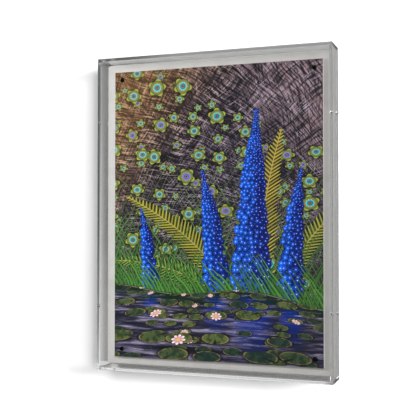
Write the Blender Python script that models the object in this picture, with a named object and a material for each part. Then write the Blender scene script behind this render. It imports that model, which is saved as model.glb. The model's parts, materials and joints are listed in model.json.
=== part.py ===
"""A print in a clear acrylic box frame, hung on a wall by an aluminium cleat.

The frame is upright: +Z is up, the front faces -Y, and the wall is at +Y. The origin is at the middle of
the bottom of the whole object's box. Sizes are in metres.

Five polished acrylic sheets make a box that is open at the back. A white board closes the back of the box,
with a mitred timber frame behind it. The print is a stiff white panel pinned on the board by its corners.
Screws through the side sheets hold the box on the timber frame.
"""
import math

import bmesh
import bpy
from mathutils import Matrix, Vector

# Driving dimensions
PRINT_WIDTH = 0.302
PRINT_HEIGHT = 0.406
MARGIN = 0.0130             # board showing between the print and the sheets, all round
SHEET = 0.0035              # thickness of the acrylic
COVER_DEPTH = 0.042         # front face to rear edge of the acrylic box
STANDOFF = 0.006            # rear edge of the box to the wall
PRINT_SETBACK = 0.0239      # front face of the box to the face of the print
GAP = 0.0003                # clearance between neighbouring pieces

WIDTH = PRINT_WIDTH + 2 * (MARGIN + SHEET)
HEIGHT = PRINT_HEIGHT + 2 * (MARGIN + SHEET)
INNER_WIDTH = WIDTH - 2 * SHEET
INNER_HEIGHT = HEIGHT - 2 * SHEET
MIDDLE_Z = HEIGHT / 2

FRONT = -(COVER_DEPTH + STANDOFF) / 2
REAR = FRONT + COVER_DEPTH
BACK = REAR + STANDOFF

# Acrylic box
ARRIS = 0.0004              # polished chamfer along the edges of each sheet

# Print and board
PRINT_FACE = FRONT + PRINT_SETBACK
PRINT_THICKNESS = 0.0028
BOARD_FACE = PRINT_FACE + PRINT_THICKNESS + GAP
BOARD_THICKNESS = 0.003
BOARD_CLEARANCE = 0.0005    # board edge to the side sheets
BOARD_END_GAP = 0.0025      # board edge to the top and bottom sheets

# Corner pins
PIN_INSET = 0.0114          # pin's axis to the edges of the print
PIN_HEAD_RADIUS = 0.00325
PIN_HEAD_HEIGHT = 0.0014
PIN_SHANK_RADIUS = 0.0010

# Timber frame
RAIL_WIDTH = 0.032
RAIL_CLEARANCE = 0.001      # timber to the sheets
RAIL_FACE = BOARD_FACE + BOARD_THICKNESS + GAP
RAIL_EASE = 0.0008          # softened edges
MITRE_GAP = GAP

# Screws, for the sides of the box and for the cleat
SCREW_HEAD_RADIUS = 0.00265
SCREW_HEAD_HEIGHT = 0.0016
SCREW_SHANK_RADIUS = 0.0014
SCREW_CLEARANCE = 0.0003
SOCKET_RADIUS = 0.0012      # hexagon recess, across its corners
SOCKET_DEPTH = 0.0010
SIDE_SCREW_SPREAD = 0.300 * HEIGHT   # from mid height, up and down
SIDE_SCREW_SETBACK = 0.0335          # behind the front face
SIDE_SCREW_LENGTH = 0.018
CLEAT_SCREW_LENGTH = 0.010
CLEAT_SCREW_SPACING = 0.080

# Hanging cleat, a Z-shaped bar
CLEAT_LENGTH = 0.200
CLEAT_GAUGE = 0.0015
CLEAT_PLATE_HEIGHT = 0.0145
CLEAT_LIP_HEIGHT = 0.0115
CLEAT_TOP = HEIGHT - 0.008

# Wall bumpers, at the bottom
BUMPER_RADIUS = 0.006
BUMPER_CROWN = 0.0008
BUMPER_X = 0.130
BUMPER_Z = 0.022

ROUND_SEGMENTS = 24
CUTTER_SEGMENTS = 20


def clear_scene():
    """Remove every object, so that the script builds the same model on each run."""
    for item in list(bpy.data.objects):
        bpy.data.objects.remove(item, do_unlink=True)


def make_material(name, colour, roughness, metallic=0.0, transmission=0.0):
    """A Principled material; `colour` is linear red, green and blue."""
    material = bpy.data.materials.new(name)
    material.use_nodes = True
    shader = material.node_tree.nodes["Principled BSDF"]
    shader.inputs["Base Color"].default_value = (*colour, 1.0)
    shader.inputs["Roughness"].default_value = roughness
    shader.inputs["Metallic"].default_value = metallic
    shader.inputs["Transmission Weight"].default_value = transmission
    material.diffuse_color = (*colour, 1.0)
    return material


def add_object(name, shape, material):
    """Put a finished bmesh into an object of its own, with its faces pointing out."""
    bmesh.ops.recalc_face_normals(shape, faces=shape.faces)
    mesh = bpy.data.meshes.new(name)
    shape.to_mesh(mesh)
    shape.free()
    mesh.materials.append(material)
    item = bpy.data.objects.new(name, mesh)
    bpy.context.scene.collection.objects.link(item)
    return item


def soften(item, width):
    """Chamfer every sharp edge of an object."""
    bevel = item.modifiers.new("edges", "BEVEL")
    bevel.width = width
    bevel.segments = 1
    bevel.limit_method = "ANGLE"


def add_slab(name, low, high, material, chamfer):
    """A rectangular sheet between two corners, with chamfered edges."""
    size = Vector(high) - Vector(low)
    shape = bmesh.new()
    place = Matrix.Translation((Vector(high) + Vector(low)) / 2) @ Matrix.Diagonal((*size, 1.0))
    bmesh.ops.create_cube(shape, size=1.0, matrix=place)
    item = add_object(name, shape, material)
    soften(item, chamfer)
    return item


def add_prism(name, outline, axis, start, end, material):
    """Sweep a closed outline straight along one axis.

    An outline point gives the two coordinates that are left when `axis` is taken out, in X, Y, Z order.
    """
    def place(point, along):
        corner = list(point)
        corner.insert(axis, along)
        return corner

    shape = bmesh.new()
    base = shape.faces.new([shape.verts.new(place(point, start)) for point in outline])
    raised = bmesh.ops.extrude_face_region(shape, geom=[base])["geom"]
    rise = Vector((0.0, 0.0, 0.0))
    rise[axis] = end - start
    bmesh.ops.translate(shape, vec=rise, verts=[part for part in raised if isinstance(part, bmesh.types.BMVert)])
    return add_object(name, shape, material)


def add_turned(name, profile, tip, direction, material):
    """Turn a profile of (radius, distance back from the tip) about an axis, and close both ends."""
    shape = bmesh.new()
    turn = Vector(direction).to_track_quat("Z", "Y").to_matrix().to_4x4()
    place = Matrix.Translation(tip) @ turn
    rings = []
    for radius, back in profile:
        ring = []
        for step in range(ROUND_SEGMENTS):
            angle = 2 * math.pi * step / ROUND_SEGMENTS
            ring.append(shape.verts.new(place @ Vector((radius * math.cos(angle), radius * math.sin(angle), -back))))
        rings.append(ring)
    for upper, lower in zip(rings, rings[1:]):
        for step in range(ROUND_SEGMENTS):
            after = (step + 1) % ROUND_SEGMENTS
            shape.faces.new((upper[step], upper[after], lower[after], lower[step]))
    shape.faces.new(rings[0])
    shape.faces.new(rings[-1])
    item = add_object(name, shape, material)
    item.data.shade_smooth()
    item.data.set_sharp_from_angle(angle=math.radians(35))
    return item


def cut_round(item, start, direction, radius, length, sides=CUTTER_SEGMENTS):
    """Bore a straight hole from `start` along `direction`, and leave its cutter as a hidden guide."""
    shape = bmesh.new()
    turn = Vector(direction).to_track_quat("Z", "Y").to_matrix().to_4x4()
    middle = Vector(start) + Vector(direction).normalized() * length / 2
    bmesh.ops.create_cone(shape, cap_ends=True, segments=sides, radius1=radius, radius2=radius,
                          depth=length, matrix=Matrix.Translation(middle) @ turn)
    cutter = add_object(item.name + "_cutter", shape, item.data.materials[0])
    cutter.hide_render = True
    cutter.display_type = "WIRE"
    bore = item.modifiers.new("bore", "BOOLEAN")
    bore.operation = "DIFFERENCE"
    bore.solver = "EXACT"
    bore.object = cutter


def domed_head(radius, height, crown, steps):
    """Profile of a round head: a shallow elliptical dome of `crown` over a short straight side."""
    profile = []
    for step in range(1, steps + 1):
        angle = math.pi / 2 * step / steps
        profile.append((radius * math.sin(angle), crown * (1 - math.cos(angle))))
    profile.append((radius, height))
    return profile


def pin_places():
    """Name and (x, z) of the pin in each corner of the print."""
    reach_x = PRINT_WIDTH / 2 - PIN_INSET
    reach_z = PRINT_HEIGHT / 2 - PIN_INSET
    for row, up in (("top", 1), ("bottom", -1)):
        for column, across in (("left", -1), ("right", 1)):
            yield f"{row}_{column}", across * reach_x, MIDDLE_Z + up * reach_z


def side_screw_heights():
    """Name and height of the two screws in each side of the box."""
    return (("upper", MIDDLE_Z + SIDE_SCREW_SPREAD), ("lower", MIDDLE_Z - SIDE_SCREW_SPREAD))


def build_acrylic_box(material):
    """Front pane over four walls; the side walls run the full height."""
    half = WIDTH / 2
    wall_front = FRONT + SHEET + GAP
    add_slab("front_pane", (-half, FRONT, 0), (half, FRONT + SHEET, HEIGHT), material, ARRIS)
    for name, side in (("left", -1), ("right", 1)):
        edges = sorted((side * half, side * (half - SHEET)))
        wall = add_slab(f"{name}_wall", (edges[0], wall_front, 0), (edges[1], REAR, HEIGHT), material, ARRIS)
        for _, height in side_screw_heights():
            start = (side * (half + SHEET), FRONT + SIDE_SCREW_SETBACK, height)
            cut_round(wall, start, (-side, 0, 0), SCREW_SHANK_RADIUS + SCREW_CLEARANCE, 3 * SHEET)
    reach = INNER_WIDTH / 2 - GAP
    for name, low in (("top", HEIGHT - SHEET), ("bottom", 0.0)):
        add_slab(f"{name}_wall", (-reach, wall_front, low), (reach, REAR, low + SHEET), material, ARRIS)


def build_board(material):
    """White board that closes the back of the box and shows as a margin round the print."""
    reach = INNER_WIDTH / 2 - BOARD_CLEARANCE
    low = SHEET + BOARD_END_GAP
    board = add_slab("backing_board", (-reach, BOARD_FACE, low),
                     (reach, BOARD_FACE + BOARD_THICKNESS, HEIGHT - low), material, ARRIS)
    pierce_for_pins(board)


def build_print(material):
    """The print: a stiff panel in the middle of the board."""
    low = MIDDLE_Z - PRINT_HEIGHT / 2
    panel = add_slab("print_panel", (-PRINT_WIDTH / 2, PRINT_FACE, low),
                     (PRINT_WIDTH / 2, PRINT_FACE + PRINT_THICKNESS, low + PRINT_HEIGHT), material, GAP)
    pierce_for_pins(panel)


def pierce_for_pins(sheet):
    """Bore the four pin holes through a sheet."""
    start = PRINT_FACE - PRINT_THICKNESS
    length = 2 * PRINT_THICKNESS + 2 * BOARD_THICKNESS
    for _, x, z in pin_places():
        cut_round(sheet, (x, start, z), (0, 1, 0), PIN_SHANK_RADIUS + GAP, length)


def build_pins(material):
    """Round black pins with domed heads on the print, and shanks through to the back of the board."""
    shank_end = BOARD_FACE + BOARD_THICKNESS
    tip = PRINT_FACE - GAP - PIN_HEAD_HEIGHT
    profile = domed_head(PIN_HEAD_RADIUS, PIN_HEAD_HEIGHT, 0.6 * PIN_HEAD_HEIGHT, 6)
    profile.append((PIN_SHANK_RADIUS, PIN_HEAD_HEIGHT))
    profile.append((PIN_SHANK_RADIUS, shank_end - tip))
    for corner, x, z in pin_places():
        add_turned(f"pin_{corner}", profile, (x, tip, z), (0, -1, 0), material)


def add_screw(name, seat, direction, length, material):
    """A low round-headed screw whose head stands on `seat`, with a hexagon socket in it."""
    outward = Vector(direction)
    tip = Vector(seat) + outward * (GAP + SCREW_HEAD_HEIGHT)
    profile = domed_head(SCREW_HEAD_RADIUS, SCREW_HEAD_HEIGHT, 0.5 * SCREW_HEAD_HEIGHT, 4)
    profile.append((SCREW_SHANK_RADIUS, SCREW_HEAD_HEIGHT))
    profile.append((SCREW_SHANK_RADIUS, SCREW_HEAD_HEIGHT + length))
    profile.append((SCREW_SHANK_RADIUS / 2, SCREW_HEAD_HEIGHT + length + SCREW_SHANK_RADIUS))
    screw = add_turned(name, profile, tip, direction, material)
    cut_round(screw, tip + outward * SOCKET_DEPTH, -outward, SOCKET_RADIUS, 2 * SOCKET_DEPTH, sides=6)


def build_side_screws(material):
    """Two screws through each side wall into the timber."""
    for side_name, side in (("left", -1), ("right", 1)):
        for level, height in side_screw_heights():
            seat = (side * WIDTH / 2, FRONT + SIDE_SCREW_SETBACK, height)
            add_screw(f"side_screw_{side_name}_{level}", seat, (side, 0, 0), SIDE_SCREW_LENGTH, material)


def cleat_screw_places():
    """Name and x of the screws through the cleat."""
    return (("left", -CLEAT_SCREW_SPACING), ("middle", 0.0), ("right", CLEAT_SCREW_SPACING))


def build_timber(material):
    """Four mitred rails behind the board, bored for the screws."""
    outer_x = INNER_WIDTH / 2 - RAIL_CLEARANCE
    outer_z = INNER_HEIGHT / 2 - RAIL_CLEARANCE
    inset = MITRE_GAP / 2
    bore = SCREW_SHANK_RADIUS + SCREW_CLEARANCE
    for name, side in (("left", -1), ("right", 1)):
        inner_x = outer_x - RAIL_WIDTH
        long_z = outer_z - inset
        short_z = outer_z - RAIL_WIDTH - inset
        outline = [(side * outer_x, MIDDLE_Z - long_z), (side * outer_x, MIDDLE_Z + long_z),
                   (side * inner_x, MIDDLE_Z + short_z), (side * inner_x, MIDDLE_Z - short_z)]
        rail = add_prism(f"rail_{name}", outline, 1, RAIL_FACE, REAR, material)
        soften(rail, RAIL_EASE)
        for _, height in side_screw_heights():
            start = (side * WIDTH / 2, FRONT + SIDE_SCREW_SETBACK, height)
            cut_round(rail, start, (-side, 0, 0), bore, SIDE_SCREW_LENGTH + SHEET)
    for name, side in (("bottom", -1), ("top", 1)):
        inner_z = outer_z - RAIL_WIDTH
        long_x = outer_x - inset
        short_x = outer_x - RAIL_WIDTH - inset
        outline = [(-long_x, MIDDLE_Z + side * outer_z), (long_x, MIDDLE_Z + side * outer_z),
                   (short_x, MIDDLE_Z + side * inner_z), (-short_x, MIDDLE_Z + side * inner_z)]
        rail = add_prism(f"rail_{name}", outline, 1, RAIL_FACE, REAR, material)
        soften(rail, RAIL_EASE)
        if name == "top":
            for _, x in cleat_screw_places():
                start = (x, REAR + SHEET, CLEAT_TOP - CLEAT_PLATE_HEIGHT / 2)
                cut_round(rail, start, (0, -1, 0), bore, CLEAT_SCREW_LENGTH + SHEET)


def build_cleat(bar_material, screw_material):
    """Z-shaped bar on the top rail; its lip hangs behind a matching bar on the wall."""
    plate_front = REAR + GAP
    plate_back = plate_front + CLEAT_GAUGE
    lip_front = BACK - CLEAT_GAUGE
    shelf_top = CLEAT_TOP - CLEAT_PLATE_HEIGHT
    shelf_under = shelf_top - CLEAT_GAUGE
    lip_end = shelf_under - CLEAT_LIP_HEIGHT
    outline = [(plate_front, CLEAT_TOP), (plate_back, CLEAT_TOP), (plate_back, shelf_top), (BACK, shelf_top),
               (BACK, lip_end), (lip_front, lip_end), (lip_front, shelf_under), (plate_front, shelf_under)]
    cleat = add_prism("hanging_cleat", outline, 0, -CLEAT_LENGTH / 2, CLEAT_LENGTH / 2, bar_material)
    height = CLEAT_TOP - CLEAT_PLATE_HEIGHT / 2
    for name, x in cleat_screw_places():
        cut_round(cleat, (x, BACK, height), (0, -1, 0), SCREW_SHANK_RADIUS + SCREW_CLEARANCE, 2 * STANDOFF)
        add_screw(f"cleat_screw_{name}", (x, plate_back, height), (0, 1, 0), CLEAT_SCREW_LENGTH - SHEET,
                  screw_material)


def build_bumpers(material):
    """Two soft pads that keep the bottom of the frame as far from the wall as the cleat does."""
    height = BACK - REAR - GAP
    profile = domed_head(BUMPER_RADIUS, height, BUMPER_CROWN, 3)
    profile.insert(0, (BUMPER_RADIUS / 4, 0.0))
    for name, side in (("left", -1), ("right", 1)):
        add_turned(f"bumper_{name}", profile, (side * BUMPER_X, BACK, BUMPER_Z), (0, 1, 0), material)


def main():
    """Build every piece."""
    clear_scene()
    acrylic = make_material("clear_acrylic", (0.93, 0.95, 0.95), 0.03, transmission=1.0)
    board = make_material("off_white_board", (0.76, 0.74, 0.70), 0.85)
    inked = make_material("print_face", (0.15, 0.15, 0.22), 0.35)
    black = make_material("black_pin", (0.008, 0.008, 0.009), 0.35)
    painted = make_material("white_painted_timber", (0.72, 0.71, 0.69), 0.6)
    steel = make_material("screw_steel", (0.56, 0.56, 0.57), 0.3, metallic=1.0)
    aluminium = make_material("cleat_aluminium", (0.77, 0.78, 0.79), 0.35, metallic=1.0)
    rubber = make_material("bumper_rubber", (0.05, 0.05, 0.055), 0.7)

    build_acrylic_box(acrylic)
    build_board(board)
    build_print(inked)
    build_pins(black)
    build_timber(painted)
    build_side_screws(steel)
    build_cleat(aluminium, steel)
    build_bumpers(rubber)


main()
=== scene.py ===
"""Looks of a print in a clear acrylic box frame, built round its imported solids.

The frame hangs on a pale wall at +Y and faces -Y, with +Z up. Lengths are in metres, except in the print's
design, which is drawn in millimetres from the middle of the sheet.
"""

import json
import logging
import math
from dataclasses import dataclass
from enum import Enum
from typing import Callable, Optional, Sequence, Union

import bpy
import bmesh
import numpy as np
from mathutils import Euler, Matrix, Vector

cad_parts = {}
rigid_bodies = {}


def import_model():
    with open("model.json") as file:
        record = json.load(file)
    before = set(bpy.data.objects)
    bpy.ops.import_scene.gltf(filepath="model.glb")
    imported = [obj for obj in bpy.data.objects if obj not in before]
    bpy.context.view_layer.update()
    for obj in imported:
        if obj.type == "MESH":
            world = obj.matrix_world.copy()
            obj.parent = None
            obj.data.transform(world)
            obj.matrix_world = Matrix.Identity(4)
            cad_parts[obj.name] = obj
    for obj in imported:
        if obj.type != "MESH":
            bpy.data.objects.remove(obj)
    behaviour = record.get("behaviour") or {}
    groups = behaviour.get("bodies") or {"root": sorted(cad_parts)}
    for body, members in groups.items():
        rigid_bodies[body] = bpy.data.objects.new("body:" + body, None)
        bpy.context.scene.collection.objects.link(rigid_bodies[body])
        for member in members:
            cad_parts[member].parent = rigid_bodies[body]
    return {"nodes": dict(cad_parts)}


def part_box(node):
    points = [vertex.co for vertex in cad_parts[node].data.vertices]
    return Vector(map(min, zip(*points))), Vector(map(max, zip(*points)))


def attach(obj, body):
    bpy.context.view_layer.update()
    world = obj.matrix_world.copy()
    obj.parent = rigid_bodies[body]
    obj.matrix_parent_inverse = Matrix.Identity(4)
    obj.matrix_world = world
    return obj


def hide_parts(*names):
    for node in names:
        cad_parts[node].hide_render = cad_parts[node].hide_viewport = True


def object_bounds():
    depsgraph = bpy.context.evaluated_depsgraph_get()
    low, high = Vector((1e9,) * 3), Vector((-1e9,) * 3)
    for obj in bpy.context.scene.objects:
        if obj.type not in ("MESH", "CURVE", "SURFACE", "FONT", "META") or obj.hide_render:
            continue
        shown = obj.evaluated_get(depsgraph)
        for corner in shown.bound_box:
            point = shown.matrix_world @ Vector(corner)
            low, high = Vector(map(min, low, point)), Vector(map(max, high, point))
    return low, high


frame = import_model()
CAD_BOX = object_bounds()

LOG = logging.getLogger("box_frame")
BODY = "root"

Colour = tuple[float, float, float]
Number = Union["Ink", float]

WALLS = ("front_pane", "left_wall", "right_wall", "top_wall", "bottom_wall")
CORNERS = ("top_left", "top_right", "bottom_left", "bottom_right")
SIDES = ("left", "right")
LEVELS = ("upper", "lower")
CLEAT_SCREWS = ("left", "middle", "right")
BACKWARDS = Vector((0, 1, 0))
UNSTRETCHED = (1.0, 1.0, 1.0)
MILLIMETRES = 1000.0
NOISE_SPAN = (0.3, 0.7)


class Grain(Enum):
    """The way that a bar's surface runs."""

    ALONG_X = (0.04, 1.0, 1.0)
    ALONG_Z = (1.0, 1.0, 0.04)


# ---- Node recipes ----

def maths(operation: str, turned: bool = False) -> Callable[..., "Ink"]:
    """Make a method that adds a Math node.

    Args:
        operation: the node's operation.
        turned: whether the other number is the first input.

    Returns:
        The method.
    """
    def method(this: "Ink", *others: Number) -> "Ink":
        """The operation's result."""
        return this.recipe.math(operation, *((*others, this) if turned else (this, *others)))

    return method


@dataclass(frozen=True)
class Ink:
    """A number, colour, vector or shader that a recipe's nodes work out at each point of a surface.

    The arithmetic signs make the Math nodes, so that a pattern reads as a formula.
    """

    recipe: "Recipe"
    socket: bpy.types.NodeSocket

    __add__ = __radd__ = maths("ADD")
    __sub__ = maths("SUBTRACT")
    __rsub__ = maths("SUBTRACT", turned=True)
    __mul__ = maths("MULTIPLY")
    __truediv__ = maths("DIVIDE")
    __pow__ = maths("POWER")
    __abs__ = maths("ABSOLUTE")
    sin = maths("SINE")
    cos = maths("COSINE")
    floor = maths("FLOOR")
    is_over = maths("GREATER_THAN")
    is_under = maths("LESS_THAN")
    at_least = maths("MAXIMUM")
    at_most = maths("MINIMUM")

    def log(self) -> "Ink":
        """Natural logarithm."""
        return self.recipe.math("LOGARITHM", self, math.e)

    def fade(self, low: float, high: float, start: float = 0.0, end: float = 1.0) -> "Ink":
        """A smooth step: `start` where this is under `low`, and `end` where it is over `high`."""
        made = self.recipe.node("MapRange", interpolation_type="SMOOTHSTEP", clamp=False)
        return self.recipe.fill(made, self, low, high, start, end)

    def until(self, low: float, high: float) -> "Ink":
        """A smooth step from 1 down to 0."""
        return self.fade(low, high, 1.0, 0.0)

    def blend(self, over: object, share: Number, mode: str = "MIX") -> "Ink":
        """This colour with another laid over it."""
        return self.recipe.blend(self, over, share, mode)


@dataclass(frozen=True)
class Cell:
    """One cell of a scatter: the offset from its centre, the centre, and its own three random numbers."""

    dx: Ink
    dz: Ink
    centre_x: Ink
    centre_z: Ink
    chance: tuple[Ink, Ink, Ink]


class Recipe:
    """The node tree of one material or world, with short calls for the nodes that the finishes use.

    The calls inside a call's arguments add their nodes first, and the trees rely on that order.
    """

    def __init__(self, name: str, library: Optional[bpy.types.bpy_prop_collection] = None) -> None:
        """Start with no nodes.

        Args:
            name: of the material or world.
            library: where it is made, which is the materials when nothing is given.
        """
        self.owner = (bpy.data.materials if library is None else library).new(name)
        self.owner.use_nodes = True
        self.tree = self.owner.node_tree
        self.tree.nodes.clear()

    def node(self, kind: str, **settings: object) -> bpy.types.Node:
        """Add a node.

        Args:
            kind: the node's type, without the ShaderNode at its front.
            settings: properties of the node.

        Returns:
            The node.
        """
        made = self.tree.nodes.new("ShaderNode" + kind)
        for key, value in settings.items():
            setattr(made, key, value)
        return made

    def feed(self, socket: bpy.types.NodeSocket, value: object) -> None:
        """Link an Ink to a socket, or set a plain value on the socket itself.

        Args:
            socket: the input.
            value: an Ink, a number, or a colour.
        """
        if isinstance(value, Ink):
            self.tree.links.new(value.socket, socket)
        elif isinstance(value, tuple) and socket.type == "RGBA":
            socket.default_value = (*value, 1.0)
        else:
            socket.default_value = value

    def fill(self, made: bpy.types.Node, *values: object, **named: object) -> Ink:
        """Feed a node's inputs, in order and then by name.

        Args:
            made: the node.
            values: for its first inputs.
            named: for inputs by name, with underscores for spaces.

        Returns:
            The node's first output.
        """
        for socket, value in zip(made.inputs, values):
            self.feed(socket, value)
        for key, value in named.items():
            self.feed(made.inputs[key.replace("_", " ")], value)
        return Ink(self, made.outputs[0])

    def read(self, kind: str, output: str) -> Ink:
        """One output of a new node."""
        return Ink(self, self.node(kind).outputs[output])

    def rays(self, *kinds: str) -> tuple[Ink, ...]:
        """Whether the ray is of each kind, such as "Camera"."""
        path = self.node("LightPath")
        return tuple(Ink(self, path.outputs[f"Is {kind} Ray"]) for kind in kinds)

    def math(self, operation: str, *values: Number) -> Ink:
        """One Math node."""
        return self.fill(self.node("Math", operation=operation), *values)

    def place(self, scale: Colour = UNSTRETCHED) -> Ink:
        """Object coordinates in metres, stretched along X, Y and Z by a scale."""
        here = self.read("TexCoord", "Object")
        return here if scale == UNSTRETCHED else self.fill(self.node("Mapping"), here, Scale=scale)

    def split(self, whole: Ink, kind: str = "XYZ") -> tuple[Ink, ...]:
        """The three numbers of a vector, or of a colour where the kind is "Color"."""
        made = self.fill(self.node("Separate" + kind), whole).socket.node
        return tuple(Ink(self, output) for output in made.outputs[:3])

    def join(self, x: Number, y: Number, z: Number = 0.0) -> Ink:
        """A vector of three numbers."""
        return self.fill(self.node("CombineXYZ"), x, y, z)

    def grey(self, shade: Ink) -> Ink:
        """A grey of one shade."""
        return self.join(shade, shade, shade)

    def size(self, x: Ink, z: Ink) -> Ink:
        """Length of a flat vector."""
        return (x * x + z * z) ** 0.5

    def bearing(self, x: Ink, z: Ink) -> Ink:
        """Direction of a flat vector, in radians from upright."""
        return self.math("ARCTAN2", x, z)

    def noise(self, vector: Ink, scale: float, detail: float = 2.0, roughness: float = 0.5) -> Ink:
        """Smooth noise of about 0.2 to 0.8, with `scale` features for each unit and `detail` octaves."""
        made = self.node("TexNoise", noise_dimensions="3D")
        return self.fill(made, Vector=vector, Scale=scale, Detail=detail, Roughness=roughness)

    def chance(self, value: Ink) -> tuple[Ink, ...]:
        """Three random numbers for each value.

        Args:
            value: what they belong to.

        Returns:
            The numbers, from 0 to 1.
        """
        made = self.node("TexWhiteNoise", noise_dimensions="1D")
        self.feed(made.inputs["W"], value)
        return self.split(Ink(self, made.outputs["Color"]), "Color")

    def scatter(self, x: Ink, z: Ink, spacing: float, spread: float, seed: float) -> Cell:
        """Cells round points strewn over a plane, each nearest to its own point.

        Args:
            x: across.
            z: up.
            spacing: mean distance between the points.
            spread: 0 for a regular grid of points, up to 1.
            seed: shifts the pattern.

        Returns:
            The cell at each point.
        """
        seed_z = 1.7 * seed
        made = self.node("TexVoronoi", voronoi_dimensions="2D", feature="F1")
        here_x, here_z = x + seed, z + seed_z
        self.fill(made, Vector=self.join(here_x, here_z), Scale=1.0 / spacing, Randomness=spread)
        centre_x, centre_z, _ = self.split(Ink(self, made.outputs["Position"]))
        chance = self.split(Ink(self, made.outputs["Color"]), "Color")
        return Cell(here_x - centre_x, here_z - centre_z, centre_x - seed, centre_z - seed_z, chance)

    def blend(self, under: object, over: object, share: Number, mode: str = "MIX") -> Ink:
        """Lay one colour over another.

        Args:
            under: the colour below.
            over: the colour on top.
            share: how much of the top colour shows.
            mode: the Mix node's way of blending.

        Returns:
            The colour.
        """
        made = self.node("Mix", data_type="RGBA", blend_type=mode)
        for index, value in ((0, share), (6, under), (7, over)):
            self.feed(made.inputs[index], value)
        return Ink(self, made.outputs[2])

    def ramp(self, value: Ink, stops: Sequence[tuple[float, Colour]]) -> Ink:
        """A run of colours.

        Args:
            value: place along the run.
            stops: place and colour of each stop.

        Returns:
            The colour.
        """
        made = self.node("ValToRGB")
        band = made.color_ramp
        while len(band.elements) < len(stops):
            band.elements.new(1.0)
        for element, (place, colour) in zip(band.elements, stops):
            element.position = place
            element.color = (*colour, 1.0)
        return self.fill(made, value)

    def bump(self, height: Ink, distance: float) -> Ink:
        """A normal that follows a height from 0 to 1, which is `distance` deep in metres."""
        return self.fill(self.node("Bump"), Strength=1.0, Distance=distance, Height=height)

    def finish(self, shader: Ink, end: str = "OutputMaterial") -> bpy.types.ID:
        """Send a shader to the output, and return the finished material or world."""
        self.feed(self.node(end).inputs["Surface"], shader)
        return self.owner

    def coat(self, **values: object) -> bpy.types.Material:
        """Finish with one Principled BSDF, whose inputs are given by name."""
        return self.finish(self.fill(self.node("BsdfPrincipled"), **values))


# ---- Finishes ----

@dataclass(frozen=True)
class ClearAcrylic:
    """Polished cast acrylic. Light from lamps goes straight through it, less what each face reflects."""

    ior: float = 1.49
    tint: Colour = (0.985, 0.99, 0.988)
    clearness: float = 0.97

    def make(self) -> bpy.types.Material:
        """Build the material.

        Returns:
            The material.
        """
        recipe = Recipe("clear_acrylic")
        glass = recipe.fill(recipe.node("BsdfPrincipled"), Base_Color=self.tint, Roughness=0.0,
                            IOR=self.ior, Transmission_Weight=1.0)
        lamp_ray, soft_ray = recipe.rays("Shadow", "Diffuse")
        slant = recipe.node("LayerWeight")
        slant.inputs["Blend"].default_value = 0.5
        square_on = ((self.ior - 1.0) / (self.ior + 1.0)) ** 2
        passed = (1.0 - Ink(recipe, slant.outputs["Facing"]) ** 5.0) * (1.0 - square_on) * self.clearness
        through = recipe.fill(recipe.node("BsdfTransparent"), recipe.grey(passed))
        mix = recipe.fill(recipe.node("MixShader"), lamp_ray.at_least(soft_ray), glass, through)
        return recipe.finish(mix)


@dataclass(frozen=True)
class MattBoard:
    """Off-white mount board with a fine tooth."""

    colour: Colour = (0.655, 0.640, 0.622)
    fleck: Colour = (0.575, 0.560, 0.543)

    def make(self) -> bpy.types.Material:
        """Build the material.

        Returns:
            The material.
        """
        recipe = Recipe("off_white_board")
        here = recipe.place()
        cloud = recipe.noise(here, 35.0, 3.0)
        tooth = recipe.noise(here, 1400.0, 3.0, 0.6)
        base = recipe.blend(self.fleck, self.colour, (cloud * 0.6 + tooth * 0.4).fade(0.32, 0.56))
        return recipe.coat(Base_Color=base, Roughness=tooth.fade(*NOISE_SPAN, 0.75, 0.92),
                           Specular_IOR_Level=0.3, Normal=recipe.bump(tooth, 0.00006))


@dataclass(frozen=True)
class PaintedTimber:
    """White paint brushed along softwood, with the grain faint under it."""

    grain: Grain
    paint: Colour = (0.74, 0.73, 0.70)
    thin: Colour = (0.62, 0.58, 0.51)

    def make(self) -> bpy.types.Material:
        """Build the material.

        Returns:
            The material.
        """
        recipe = Recipe("painted_timber_" + self.grain.name.lower())
        along = recipe.place(self.grain.value)
        brush = recipe.noise(along, 900.0, 3.0, 0.6)
        rings = recipe.noise(along, 130.0, 2.0, 0.7)
        worn = (rings * 0.7 + brush * 0.3).fade(0.54, 0.70, 0.0, 0.75)
        base = recipe.blend(self.paint, self.thin, worn)
        return recipe.coat(Base_Color=base, Roughness=brush.fade(*NOISE_SPAN, 0.45, 0.68),
                           Specular_IOR_Level=0.4, Normal=recipe.bump(brush * 0.5 + rings * 0.5, 0.00018))


@dataclass(frozen=True)
class BrushedMetal:
    """Bare metal with fine drawing or turning lines."""

    name: str
    colour: Colour
    grain: Grain
    roughness: tuple[float, float] = (0.22, 0.42)

    def make(self) -> bpy.types.Material:
        """Build the material.

        Returns:
            The material.
        """
        recipe = Recipe(self.name)
        lines = recipe.noise(recipe.place(self.grain.value), 3200.0, 2.0, 0.6)
        stain = recipe.noise(recipe.place(), 120.0, 3.0)
        shade = (lines * 0.6 + stain * 0.4).fade(0.35, 0.65, 0.82, 1.0)
        base = recipe.blend(self.colour, recipe.grey(shade), 1.0, "MULTIPLY")
        return recipe.coat(Base_Color=base, Metallic=1.0, Roughness=lines.fade(*NOISE_SPAN, *self.roughness),
                           Normal=recipe.bump(lines, 0.00002))


@dataclass(frozen=True)
class Mottled:
    """A plain coat of two close colours, with a fine relief."""

    name: str
    colour: Colour
    mottle: Colour
    scale: float
    detail: float
    span: tuple[float, float]
    roughness: tuple[float, float]
    specular: float
    relief: float

    def make(self) -> bpy.types.Material:
        """Build the material.

        Returns:
            The material.
        """
        recipe = Recipe(self.name)
        grain = recipe.noise(recipe.place(), self.scale, self.detail)
        base = recipe.blend(self.colour, self.mottle, grain.fade(*self.span))
        return recipe.coat(Base_Color=base, Roughness=grain.fade(*NOISE_SPAN, *self.roughness),
                           Specular_IOR_Level=self.specular, Normal=recipe.bump(grain, self.relief))


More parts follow.
